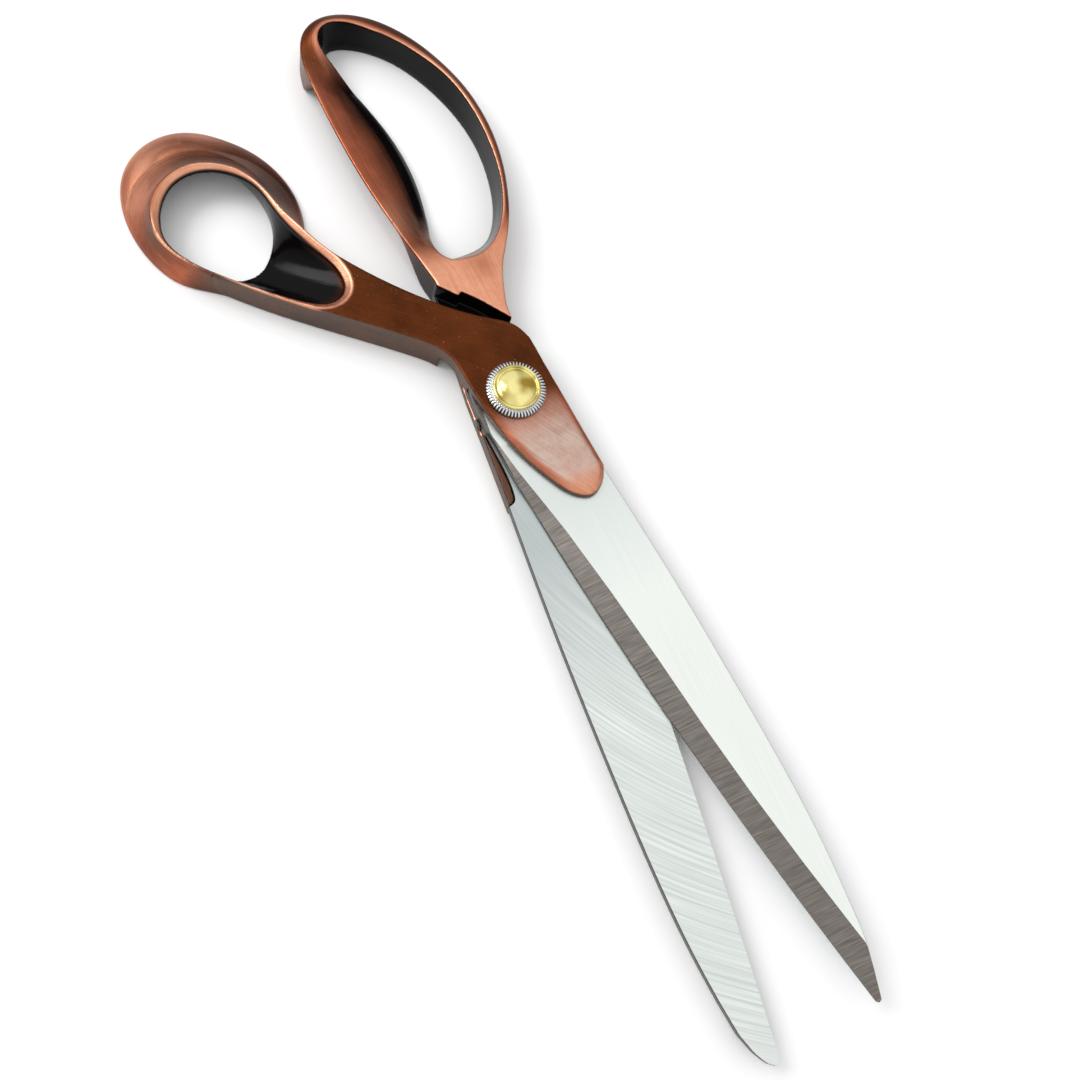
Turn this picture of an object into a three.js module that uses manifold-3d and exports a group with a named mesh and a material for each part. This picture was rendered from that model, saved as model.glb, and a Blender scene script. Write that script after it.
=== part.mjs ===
// Fabric shears: bent tailor's shears that lie flat with their blades part open.
// Millimetres, +Z up. The origin is on the pivot axis, at the underside the shears rest on. +X runs
// towards the blade tips, halfway between the two blades. The finger half lies below the plane
// where the blades meet, the thumb half above it, and the thumb half turns about the pivot bolt.

import * as THREE from "three";
import { mergeVertices } from "three/addons/utils/BufferGeometryUtils.js";
import Module from "manifold-3d";

const wasm = await Module();
wasm.setup();

// Driving dimensions
const THICKNESS = 11; // both handles, from underside to top
const GAP = 0.3; // left between pieces that touch
const BLADE_THICKNESS = 2.4;
const THUMB_BLADE_TIP = 177.5; // from the pivot axis
const FINGER_BLADE_TIP = 178.2;
const BEVEL_WIDTH = 6.2; // ground strip behind each cutting edge
const EDGE_LAND = 0.5; // height of the edge below its bevel
const BEVEL_HEEL = 70; // the bevel runs out behind here
const LAP_LINE = -13.5; // the thumb handle is half as thick on the blades' side of this line
const PASSAGE_LIP = 1.8; // height of the upright wall at the top of the thumb's way through
const FLANGE_EDGE = 1.4; // thickness of the ring's flange at its outer edge
const FLANGE_TOP = 9.8; // height at which the flange meets the ring
const BOLT_RADIUS = 3;
const BOLT_HEAD_RADIUS = 6.5;
const BOLT_HEAD_HEIGHT = 1.4;
const NECK_WIDTH = 6.6; // square neck that keys the bolt in the finger blade
const NECK_BORE_RADIUS = 5.05; // clears the neck's corners
const WASHER_RADIUS = 5.5;
const WASHER_THICKNESS = 0.3;
const WASHER_DISH = 0.4;
const NUT_RADIUS = 8.1;
const NUT_HEIGHT = 1.5;
const NUT_RECESS_RADIUS = 5.9; // room for the washer in its underside
const NUT_TEETH = 54;
const TOOTH_DEPTH = 0.7;
const CAP_RADIUS = 6.45;
const CAP_HEIGHT = 1.7;
const CAP_RIM_HEIGHT = 1.05;
const CAP_RIM_WIDTH = 1.1;
const CURVE_STEPS = 6; // straight pieces for each given point of a curve

// Heights worked out from them
const MEET = THICKNESS / 2; // plane where the blades meet
const FINGER_BLADE_TOP = MEET - GAP / 2;
const THUMB_BLADE_BASE = MEET + GAP / 2;
const FINGER_TONGUE_TOP = FINGER_BLADE_TOP - BLADE_THICKNESS - GAP;
const THUMB_TONGUE_BASE = THUMB_BLADE_BASE + BLADE_THICKNESS + GAP;
const NUT_BASE = THICKNESS + GAP / 2;
const NUT_TOP = NUT_BASE + NUT_HEIGHT;

// The two sides of the centre line: +1 for the thumb half, -1 for the finger half
const THUMB = 1;
const FINGER = -1;

const copper = { color: 0xa8623f, roughness: 0.42, metalness: 0.9 };
const steel = { color: 0xd9dcda, roughness: 0.35, metalness: 1 };
const brightSteel = { color: 0xc9cccc, roughness: 0.25, metalness: 1 };
const brass = { color: 0xd8c04f, roughness: 0.22, metalness: 1 };

// Turns a three.js geometry into a solid for cutting and joining.
function solid(geometry) {
  geometry.deleteAttribute("normal");
  geometry.deleteAttribute("uv");
  const merged = mergeVertices(geometry, 1e-4);
  const vertProperties = merged.attributes.position.array;
  const triVerts = new Uint32Array(merged.index.array);
  return new wasm.Manifold(new wasm.Mesh({ numProp: 3, vertProperties, triVerts }));
}

// Names a finished solid and gives it its material.
function part(name, body, material) {
  const { vertProperties, triVerts } = body.getMesh();
  const geometry = new THREE.BufferGeometry();
  geometry.setAttribute("position", new THREE.BufferAttribute(vertProperties, 3));
  geometry.setIndex(new THREE.BufferAttribute(triVerts, 1));
  const mesh = new THREE.Mesh(geometry, new THREE.MeshStandardMaterial(material));
  mesh.name = name;
  return mesh;
}

// Closed outline from runs of points: a straight run joins its corners, a curved run is a spline.
function outline(runs, side = THUMB) {
  const shape = new THREE.Shape();
  runs.forEach(({ curved, points }, index) => {
    const run = points.map(([x, y]) => new THREE.Vector2(x, side * y));
    const first = run.shift();
    if (index === 0) shape.moveTo(first.x, first.y);
    else shape.lineTo(first.x, first.y);
    if (curved) shape.splineThru(run);
    else run.forEach((p) => shape.lineTo(p.x, p.y));
  });
  return shape;
}

function prism(shape, bottom, top) {
  const settings = { depth: top - bottom, bevelEnabled: false, curveSegments: CURVE_STEPS };
  return new THREE.ExtrudeGeometry(shape, settings).translate(0, 0, bottom);
}

function disc(radius, bottom, top, sides = 40) {
  const geometry = new THREE.CylinderGeometry(radius, radius, top - bottom, sides);
  return geometry.rotateX(Math.PI / 2).translate(0, 0, (top + bottom) / 2);
}

// Moves each vertex by a rule that is given its place.
function reshape(geometry, rule) {
  const place = geometry.attributes.position;
  for (let i = 0; i < place.count; i++) {
    const [x, y, z] = rule(place.getX(i), place.getY(i), place.getZ(i));
    place.setXYZ(i, x, y, z);
  }
  return geometry;
}

// A solid between two outlines whose points match one by one.
function loft(lower, upper, bottom, top) {
  const from = upper.getPoints(CURVE_STEPS);
  const onto = lower.getPoints(CURVE_STEPS);
  return reshape(prism(upper, 0, 1), (x, y, step) => {
    if (step > 0) return [x, y, top];
    const reach = from.map((p) => Math.hypot(p.x - x, p.y - y));
    const match = onto[reach.indexOf(Math.min(...reach))];
    return [match.x, match.y, bottom];
  });
}

// ---- Blades ----

// Distance of the cutting edge from the centre line, for the thumb blade and the finger blade.
const thumbEdge = (x) => -11.16 + 0.0761 * x + 0.000405 * x * x;
const fingerEdge = (x) => -11.9 + 0.1116 * x + 0.000174 * x * x;

// Outline of the tang: its notched side, where the handle's lip wraps it, then round the pivot.
const notch = [[27.5, 13.9], [26.8, 12], [24.5, 11.1], [10, 10.9], [-7, 10.4]];
const tangEnd = [[-7, 10.4], [-13.5, 7.2], [-16.4, 0], [-13.5, -7], [-7, -10], [8, -10.6], [24, -9.3]];

function bladeOutline(edge, spine, tip, side) {
  const cutting = [];
  for (let x = THUMB_BLADE_TIP - 0.5; x > 30; x -= 12) cutting.push([x, edge(x)]);
  const round = [spine.at(-1), ...tip, cutting[0]];
  const runs = [{ curved: true, points: spine }, { curved: false, points: round }];
  runs.push({ curved: true, points: cutting });
  runs.push({ curved: true, points: tangEnd.slice().reverse() });
  runs.push({ curved: true, points: notch.slice().reverse() });
  return outline(runs, side);
}

// The stone that grinds the bevel: a wedge bent along the cutting edge, which runs out at the heel.
function grindingWedge(edge, bottom, top) {
  const slope = (top - bottom - EDGE_LAND) / BEVEL_WIDTH;
  const land = bottom + EDGE_LAND;
  const beyond = 3;
  const section = new THREE.Shape();
  section.moveTo(-beyond, land - beyond * slope);
  section.lineTo(BEVEL_WIDTH + beyond, top + beyond * slope);
  section.lineTo(-beyond, top + beyond * slope);
  const start = 14;
  const settings = { depth: FINGER_BLADE_TIP - start + beyond, steps: 16, bevelEnabled: false };
  const wedge = new THREE.ExtrudeGeometry(section, settings);
  const runOut = (x) => Math.max(0, (BEVEL_HEEL - x) / 8);
  return reshape(wedge, (y, z, x) => [x + start, y + edge(x + start) - runOut(x + start), z]);
}

const thumbSpine = [[27.5, 13.9], [60, 17.1], [100, 19.8], [135, 20.9], [160, 19.6]];
const fingerSpine = [[27.5, 13.9], [60, 17.1], [100, 20], [135, 21.5], [150, 21.3], [160, 20.7]];
const thumbTip = [[163, 19.2], [170.5, 17.8], [THUMB_BLADE_TIP - 0.4, 16.4], [THUMB_BLADE_TIP, 15.6]];
const fingerPoint = [[176.4, 16.8], [177.9, 15.1], [FINGER_BLADE_TIP, 14.1]];
const fingerTip = [[168, 19.9], [173, 18.5], ...fingerPoint];
const thumbBlank = bladeOutline(thumbEdge, thumbSpine, thumbTip, THUMB);
const fingerBlank = bladeOutline(fingerEdge, fingerSpine, fingerTip, FINGER);

function thumbBlade() {
  const bottom = THUMB_BLADE_BASE;
  const top = bottom + BLADE_THICKNESS;
  const blank = solid(prism(thumbBlank, bottom, top));
  const bore = solid(disc(BOLT_RADIUS + 0.1, bottom - 1, top + 1));
  const ground = blank.subtract(solid(grindingWedge(thumbEdge, bottom, top)));
  return part("thumb_blade", ground.subtract(bore), steel);
}

// The finger blade is ground from below, so its wedge is a thumb blade's, turned over.
function fingerBlade() {
  const blank = solid(prism(fingerBlank, FINGER_BLADE_TOP - BLADE_THICKNESS, FINGER_BLADE_TOP));
  const key = NECK_WIDTH + 2 * GAP;
  const hole = solid(new THREE.BoxGeometry(key, key, 2 * THICKNESS));
  const wedge = grindingWedge(fingerEdge, THUMB_BLADE_BASE, THUMB_BLADE_BASE + BLADE_THICKNESS);
  const ground = blank.subtract(solid(wedge.rotateX(Math.PI).translate(0, 0, THICKNESS)));
  return part("finger_blade", ground.subtract(hole), steel);
}

// ---- Handles ----

// The tongue that backs a blade's root, from its lip round its tip to the heel.
const thumbLip = [[-5, 11.3], [10, 12.4], [27.3, 13.6]];
const fingerLip = [[-5, -10.7], [10, -12], [27.3, -13.5]];
const tongueTip = [[27.3, 13.6], [31.5, 11.2], [33.8, 7], [32, 3], [26, -1.3], [13, -7], [0, -10]];

// The room that a blade takes up in its handle: its outline, moved by the gap to each side.
function bladePocket(shape, bottom, top) {
  const moves = [[GAP, 0], [-GAP, 0], [0, GAP], [0, -GAP]];
  const moved = moves.map(([x, y]) => solid(prism(shape, bottom, top).translate(x, y, 0)));
  return moved.reduce((sum, next) => sum.add(next));
}

function fingerBowOuter() {
  const mirrored = tongueTip.map(([x, y]) => [x, -y]);
  const shoulder = [[-7, 10.3], [-15, 9.8], [-21, 8.8], [-29, 10.6], [-36, 13.6], [-43.4, 18.4]];
  const far = [[-50.2, 22.3], [-57.5, 25.5], [-66.6, 28.2], [-75.7, 29.6], [-84.3, 29.7]];
  const top = [[-93.4, 28.5], [-103, 25.5], [-110.5, 22], [-117, 17.6], [-122.6, 12]];
  const end = [[-126.4, 5], [-127, -3], [-123.4, -9], [-117, -12.1], [-105, -13.5]];
  const near = [[-88, -13.3], [-68, -11.7], [-50, -8.8], [-37, -6.5]];
  return outline([
    { curved: false, points: fingerLip },
    { curved: true, points: mirrored },
    { curved: true, points: [...shoulder, ...far, ...top, ...end, ...near] },
  ]);
}

// The way through the bow is wider at the top all round, but for the limb next to the thumb ring.
const bowRim = [
  [-41.2, 4], [-41, 8], [-42.8, 13], [-47.5, 18], [-54, 22], [-64, 25.4], [-74, 26.8], [-90, 26.2],
  [-98.5, 23.9], [-106, 20], [-113.5, 14.6], [-119, 9], [-123.2, 3], [-123.6, -2.5], [-119.5, -5.9],
  [-113, -4.4], [-105, -0.6], [-98, 1.6], [-88, 3.7], [-80, 4.4], [-72, 4.2], [-64, 2.8], [-56, 0],
  [-50, -2], [-45, -1.6], [-42, 0.8],
];
const bowFloor = [
  [-47.2, 7], [-47.4, 10.5], [-48.5, 15], [-52, 19], [-58.3, 22.6], [-67, 25.3], [-77, 26.6], [-89, 25.7],
  [-97, 23.6], [-106.4, 19.6], [-112.6, 15.7], [-118, 10.4], [-121.6, 4.2], [-122.1, -1.4], [-118.8, -4.1],
  [-112.5, -2.9], [-105, -0.2], [-98, 1.7], [-88, 3.8], [-80, 4.5], [-72, 4.3], [-64, 3.2], [-56, 1.4],
  [-51.2, 0.6], [-48.3, 2.2], [-47.3, 4.6],
];

const closed = (points) => outline([{ curved: true, points: [...points, points[0]] }]);

// A bar of triangular section that runs along the wide limb of the finger bow.
function limbBar(corners, start, length) {
  const section = new THREE.Shape(corners.map(([y, z]) => new THREE.Vector2(y, z)));
  const bar = new THREE.ExtrudeGeometry(section, { depth: length, bevelEnabled: false });
  const lean = 0.05; // the limb runs a little across the centre line
  return reshape(bar, (y, z, x) => [x + start, y + lean * x, z]);
}

function fingerHandle() {
  const body = solid(prism(fingerBowOuter(), 0, THICKNESS));
  const beyond = 1;
  const way = solid(loft(closed(bowFloor), closed(bowRim), -beyond, THICKNESS + beyond));
  const stop = [[-37, -7.4], [-35.6, -6.3], [-31.2, -2.3], [-32, -1.1], [-28.1, 2.6], [-20.7, 8.2]];
  const aroundBlades = [[-17, 12], [60, 20], [60, -30], [-37, -30]];
  const lap = outline([{ curved: false, points: stop.concat(aroundBlades) }]);
  const halfLap = solid(prism(lap, FINGER_BLADE_TOP, THICKNESS + beyond));
  const slopeToOpening = solid(limbBar([[-14.2, 11.4], [6, 1.8], [6, 14]], -113, 64));
  const scoopBelow = solid(limbBar([[-16.5, -1], [-2.9, -1], [-16.5, 11.8]], -108, 60));
  const pocket = bladePocket(fingerBlank, FINGER_TONGUE_TOP, THICKNESS);
  const bore = solid(disc(NECK_BORE_RADIUS, -beyond, THICKNESS));
  const counterbore = solid(disc(BOLT_HEAD_RADIUS + GAP, -beyond, BOLT_HEAD_HEIGHT + GAP));
  const cuts = [way, halfLap, slopeToOpening, scoopBelow, pocket, bore, counterbore];
  return part("finger_handle", cuts.reduce((rest, cut) => rest.subtract(cut), body), copper);
}

// Plan of the thumb handle at its top: the tongue, the arm that bends away from the blade, the ring.
function thumbOutline() {
  const heel = [[0, -10], [-8, -10.9], [-14, -11.6], [-19, -14], [-23, -18], [-36, -33.9]];
  const near = [[-50, -50.6], [-60, -60.8], [-68, -67.2], [-75, -69.6], [-80, -69.3], [-86, -66.4]];
  const ring = [[-90, -61.2], [-91.7, -55], [-90.5, -49.5], [-87, -43.8], [-80, -39.2], [-70, -36.2]];
  const far = [[-63.5, -33.2], [-57, -30.2], [-50, -25.6], [-40, -17.4], [-32, -9.6], [-27, -3.9]];
  const shoulder = [[-22, 3.3], [-18, 8.5], [-13, 10.8]];
  return outline([
    { curved: false, points: thumbLip },
    { curved: true, points: tongueTip },
    { curved: true, points: [...heel, ...near, ...ring, ...far, ...shoulder] },
  ]);
}

// The ring's flange flares outwards on its way down, most of all away from the blades.
const flangeFoot = [
  [-66, -69.2], [-71, -71.9], [-78.3, -74], [-85.8, -74.6], [-93.7, -73.5], [-101.6, -69.8],
  [-107.4, -62.5], [-109, -55], [-107.6, -48.1], [-102.8, -40.8], [-96.8, -35.1], [-88.2, -30.6],
  [-79, -29], [-72.5, -29.7], [-66.5, -31.8], [-59, -40], [-57, -50], [-60, -62],
];
const flangeHead = [
  [-66, -65.4], [-71, -68], [-76.5, -69.3], [-82, -68.3], [-86, -66], [-89, -62.4],
  [-90.8, -58.6], [-91.3, -55], [-90.4, -50.3], [-88.1, -46.2], [-84.6, -42.6], [-79.8, -39.6],
  [-74.5, -37.9], [-70, -36.6], [-66, -35], [-60.5, -40.5], [-59, -50], [-61, -60],
];

// The thumb's way through leans away from the blades, so its top reaches along the arm as a scoop.
const passageRim = [
  [-41.1, -34], [-43.2, -30.2], [-49, -29.3], [-58, -33], [-72, -38.3], [-80.5, -40.4],
  [-86.8, -46], [-89.3, -53.5], [-87.7, -60], [-83.6, -64.5], [-78.1, -67.3], [-73, -68],
  [-67.1, -65.9], [-60.6, -60.8], [-55, -55], [-49, -48], [-43.2, -40.4],
];
const passageFloor = [
  [-60.3, -51], [-60.6, -48.6], [-61.6, -46.2], [-63.8, -43.6], [-71.7, -39.1], [-81, -38.8],
  [-92, -43], [-98.9, -51.5], [-98.6, -58.8], [-94.2, -64.4], [-87.8, -67.8], [-80, -68.5],
  [-72.6, -66.2], [-66.6, -61.9], [-63, -57.8], [-61, -54.4], [-60.3, -52.3],
];

function thumbHandle() {
  const foot = closed(flangeFoot);
  const flange = solid(loft(foot, closed(flangeHead), FLANGE_EDGE, FLANGE_TOP));
  const skirt = solid(prism(foot, 0, FLANGE_EDGE));
  const body = solid(prism(thumbOutline(), 0, THICKNESS)).add(flange).add(skirt);
  const below = [[-45, LAP_LINE], [60, LAP_LINE], [60, 30], [-45, 30]];
  const lap = outline([{ curved: false, points: below }]);
  const halfLap = solid(prism(lap, -1, THUMB_BLADE_BASE));
  const mouth = closed(passageRim);
  const passage = solid(loft(closed(passageFloor), mouth, 0, THICKNESS - PASSAGE_LIP));
  const throat = solid(prism(mouth, THICKNESS - PASSAGE_LIP, THICKNESS + 1));
  const exit = solid(prism(closed(passageFloor), -1, 0));
  const pocket = bladePocket(thumbBlank, 0, THUMB_TONGUE_BASE);
  const bore = solid(disc(BOLT_RADIUS + GAP, 0, THICKNESS + 1));
  const cuts = [halfLap, passage.add(throat).add(exit), pocket, bore];
  return part("thumb_handle", cuts.reduce((rest, cut) => rest.subtract(cut), body), copper);
}

// ---- Pivot ----

function pivotBolt() {
  const head = solid(disc(BOLT_HEAD_RADIUS, 0, BOLT_HEAD_HEIGHT));
  const neck = new THREE.BoxGeometry(NECK_WIDTH, NECK_WIDTH, FINGER_BLADE_TOP - 1);
  const shank = solid(disc(BOLT_RADIUS, 1, NUT_TOP - GAP));
  const keyed = head.add(solid(neck.translate(0, 0, (FINGER_BLADE_TOP + 1) / 2)));
  return part("pivot_bolt", keyed.add(shank), brightSteel);
}

// A thin dished washer that keeps the blades pressed together, held in the nut's underside.
function springWasher() {
  const inner = BOLT_RADIUS + GAP;
  const low = THICKNESS + 0.1;
  const high = low + WASHER_DISH;
  const under = [[inner, high], [WASHER_RADIUS, low]];
  const over = [[WASHER_RADIUS, low + WASHER_THICKNESS], [inner, high + WASHER_THICKNESS]];
  const section = [...under, ...over, [inner, high]];
  const ring = new THREE.LatheGeometry(section.map(([r, z]) => new THREE.Vector2(r, z)), 32);
  return part("spring_washer", solid(ring.rotateX(Math.PI / 2)), brightSteel);
}

// The tension nut is a flat wheel with fine teeth all round, turned by a thumbnail.
function tensionNut() {
  const rim = new THREE.Shape();
  for (let i = 0; i < NUT_TEETH; i++) {
    const pitch = (2 * Math.PI) / NUT_TEETH;
    [[0, 1], [0.55, 1], [0.7, 0], [0.85, 0]].forEach(([along, crest], corner) => {
      const r = NUT_RADIUS - TOOTH_DEPTH * (1 - crest);
      const angle = (i + along) * pitch;
      const step = i === 0 && corner === 0 ? "moveTo" : "lineTo";
      rim[step](r * Math.cos(angle), r * Math.sin(angle));
    });
  }
  const wheel = solid(prism(rim, NUT_BASE, NUT_TOP));
  const bore = solid(disc(BOLT_RADIUS + 0.1, NUT_BASE - 1, NUT_TOP + 1));
  const recess = solid(disc(NUT_RECESS_RADIUS, NUT_BASE - 1, THICKNESS + 1));
  return part("tension_nut", wheel.subtract(bore).subtract(recess), brightSteel);
}

// The cap has a raised rim, a groove inside it and a low dome in the middle.
function nutCap() {
  const base = NUT_TOP + GAP / 2;
  const rimTop = base + CAP_RIM_HEIGHT;
  const rimInside = CAP_RADIUS - CAP_RIM_WIDTH;
  const profile = new THREE.Path();
  profile.moveTo(0, base);
  profile.lineTo(CAP_RADIUS, base);
  profile.lineTo(CAP_RADIUS, rimTop - 0.4);
  profile.quadraticCurveTo(CAP_RADIUS - 0.1, rimTop, CAP_RADIUS - 0.6, rimTop);
  profile.lineTo(rimInside, rimTop - 0.45);
  profile.quadraticCurveTo(rimInside / 2, base + CAP_HEIGHT, 0, base + CAP_HEIGHT);
  const cap = new THREE.LatheGeometry(profile.getPoints(5), 40);
  return part("nut_cap", solid(cap.rotateX(Math.PI / 2)), brass);
}

const fingerHalf = new THREE.Group();
fingerHalf.add(fingerHandle(), fingerBlade(), pivotBolt());

const thumbHalf = new THREE.Group();
thumbHalf.add(thumbHandle(), thumbBlade(), springWasher());

const tensionWheel = new THREE.Group();
tensionWheel.add(tensionNut(), nutCap());

const shears = new THREE.Group();
shears.add(fingerHalf, thumbHalf, tensionWheel);

export default shears;
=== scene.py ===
"""Looks of the fabric shears: bent tailor's shears with copper-plated handles and steel blades.

Shapes are worked out in millimetres in the part's frame and become metres when a mesh is made.
Each handle is one smooth solid, drawn as a distance field and then skinned. The blades are lofted.
"""

import math

import bmesh
import bpy
import numpy as np
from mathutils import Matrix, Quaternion, Vector

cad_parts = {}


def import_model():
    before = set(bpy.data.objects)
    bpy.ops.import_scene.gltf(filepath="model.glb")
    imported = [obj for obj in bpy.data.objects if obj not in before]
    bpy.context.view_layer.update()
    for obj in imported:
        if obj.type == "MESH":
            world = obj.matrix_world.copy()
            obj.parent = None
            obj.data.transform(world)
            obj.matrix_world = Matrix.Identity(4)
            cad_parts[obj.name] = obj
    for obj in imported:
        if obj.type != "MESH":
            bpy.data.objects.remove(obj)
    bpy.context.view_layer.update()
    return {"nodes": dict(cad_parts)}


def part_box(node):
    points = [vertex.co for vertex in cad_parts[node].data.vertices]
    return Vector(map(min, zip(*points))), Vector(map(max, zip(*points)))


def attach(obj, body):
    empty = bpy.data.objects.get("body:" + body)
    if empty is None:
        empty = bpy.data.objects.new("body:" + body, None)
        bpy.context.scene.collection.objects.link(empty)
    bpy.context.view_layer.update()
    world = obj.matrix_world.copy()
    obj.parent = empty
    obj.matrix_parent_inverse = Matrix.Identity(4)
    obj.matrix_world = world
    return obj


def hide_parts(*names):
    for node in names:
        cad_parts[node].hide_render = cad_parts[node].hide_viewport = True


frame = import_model()

MM = 0.001

# Heights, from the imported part
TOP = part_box("thumb_handle")[1].z / MM
FINGER_BLADE = [v.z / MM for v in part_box("finger_blade")]
THUMB_BLADE = [v.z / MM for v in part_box("thumb_blade")]
NUT = [v.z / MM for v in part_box("tension_nut")]
CAP = [v.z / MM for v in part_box("nut_cap")]
GAP = 0.3
BAND = 8.0  # how far from its outline a plan still measures distance
WIDE_BAND = 20.0  # the same, for the broad limb of the finger bow
TABLE_CELL = 0.25
HANDLE_CELL = 0.42


# ---- Curves and plans ----


def spline(points, closed=False, step=0.8):
    """Closely spaced points of the smoothest curve through the given ones."""
    p = np.array(points, float)
    if closed:
        p = np.vstack([p, p[:1]])
    t = np.concatenate([[0.0], np.cumsum(np.hypot(*np.diff(p, axis=0).T))])
    h = np.diff(t)
    n = len(p)
    a = np.zeros((n, n))
    b = np.zeros((n, 2))
    slope = np.diff(p, axis=0) / h[:, None]
    for i in range(1, n - 1):
        a[i, i - 1 : i + 2] = h[i - 1], 2 * (h[i - 1] + h[i]), h[i]
        b[i] = 6 * (slope[i] - slope[i - 1])
    if closed:
        a[0, 0], a[0, n - 1] = 1, -1
        a[n - 1, 0], a[n - 1, 1] = 2 * h[0], h[0]
        a[n - 1, n - 1], a[n - 1, n - 2] = 2 * h[-1], h[-1]
        b[n - 1] = 6 * (slope[0] - slope[-1])
    else:
        a[0, 0] = a[n - 1, n - 1] = 1
    m = np.linalg.solve(a, b)
    out = []
    for i in range(n - 1):
        s = np.linspace(0, h[i], max(2, int(h[i] / step) + 1), endpoint=False)[:, None]
        r = h[i] - s
        bend = (m[i] * r**3 + m[i + 1] * s**3) / (6 * h[i])
        ends = (p[i] / h[i] - m[i] * h[i] / 6) * r + (p[i + 1] / h[i] - m[i + 1] * h[i] / 6) * s
        out.append(bend + ends)
    if not closed:
        out.append(p[-1:])
    return np.vstack(out)


def joined(*runs):
    """One closed outline from smooth runs that meet at corners."""
    return np.vstack([spline(run) for run in runs])


class Plan:
    """Distance to a closed outline on the plan, below zero inside it."""

    def __init__(self, line, band=BAND):
        self.low = line.min(0) - band
        size = np.ceil((line.max(0) + band - self.low) / TABLE_CELL).astype(int) + 1
        xs = self.low[0] + TABLE_CELL * np.arange(size[0])
        ys = self.low[1] + TABLE_CELL * np.arange(size[1])
        near = np.full(size, float(band**2))
        turns = np.zeros((size[0] + 1, size[1]), int)
        for a, b in zip(line, np.roll(line, -1, axis=0)):
            d = b - a
            if not d.any():
                continue
            x0, x1 = np.searchsorted(xs, [min(a[0], b[0]) - band, max(a[0], b[0]) + band])
            y0, y1 = np.searchsorted(ys, [min(a[1], b[1]) - band, max(a[1], b[1]) + band])
            gx = xs[x0:x1, None] - a[0]
            gy = ys[None, y0:y1] - a[1]
            t = np.clip((gx * d[0] + gy * d[1]) / (d @ d), 0, 1)
            part = near[x0:x1, y0:y1]
            np.minimum(part, (gx - t * d[0]) ** 2 + (gy - t * d[1]) ** 2, out=part)
            rows = np.nonzero((ys >= min(a[1], b[1])) & (ys < max(a[1], b[1])))[0]
            if len(rows):
                across = a[0] + (ys[rows] - a[1]) * d[0] / d[1]
                np.add.at(turns, (np.searchsorted(xs, across), rows), 1)
        inside = np.cumsum(turns[:-1], axis=0) % 2 == 1
        self.table = np.where(inside, -1, 1) * np.sqrt(near)

    def __call__(self, x, y):
        u = np.clip((x - self.low[0]) / TABLE_CELL, 0, self.table.shape[0] - 1.001)
        v = np.clip((y - self.low[1]) / TABLE_CELL, 0, self.table.shape[1] - 1.001)
        i, j = u.astype(int), v.astype(int)
        u, v = u - i, v - j
        t = self.table
        low = t[i, j] * (1 - v) + t[i, j + 1] * v
        high = t[i + 1, j] * (1 - v) + t[i + 1, j + 1] * v
        return low * (1 - u) + high * u


class Loft:
    """Plans of the outlines between two, whose given points match one by one."""

    def __init__(self, upper, lower, band, levels):
        self.plans = []
        for share in np.linspace(0, 1, levels + 1):
            between = np.array(upper, float) * (1 - share) + np.array(lower, float) * share
            self.plans.append(Plan(spline(between, closed=True), band))

    def __call__(self, x, y, share):
        """Distance at share 0 to the upper outline, at 1 to the lower one."""
        level = np.clip(share, 0, 1) * (len(self.plans) - 1)
        out, total = 0, 0
        for i, plan in enumerate(self.plans):
            d = np.minimum(abs(level - i), 2)
            weight = np.where(d < 1, 1.5 * d**3 - 2.5 * d**2 + 1, -0.5 * d**3 + 2.5 * d**2 - 4 * d + 2)
            out, total = out + weight * plan(x, y), total + weight
        return out / total


# ---- Distance fields ----


def ramp(value, start, end):
    """0 at start, 1 at end, with a soft turn at both."""
    t = np.clip((value - start) / (end - start), 0, 1)
    return t * t * (3 - 2 * t)


def both(a, b, radius=0.0):
    """What lies inside a and b, with its edge rounded."""
    if not radius:
        return np.maximum(a, b)
    corner = np.hypot(np.maximum(a + radius, 0), np.maximum(b + radius, 0))
    return np.minimum(np.maximum(a, b), -radius) + corner


def cut(a, b, radius=0.0):
    return both(a, -b, radius)


def either(a, b, radius=0.0):
    """What lies inside a or b, with a fillet where they meet."""
    return -both(-a, -b, radius)


def slab(z, low, high):
    return np.maximum(low - z, z - high)


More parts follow.
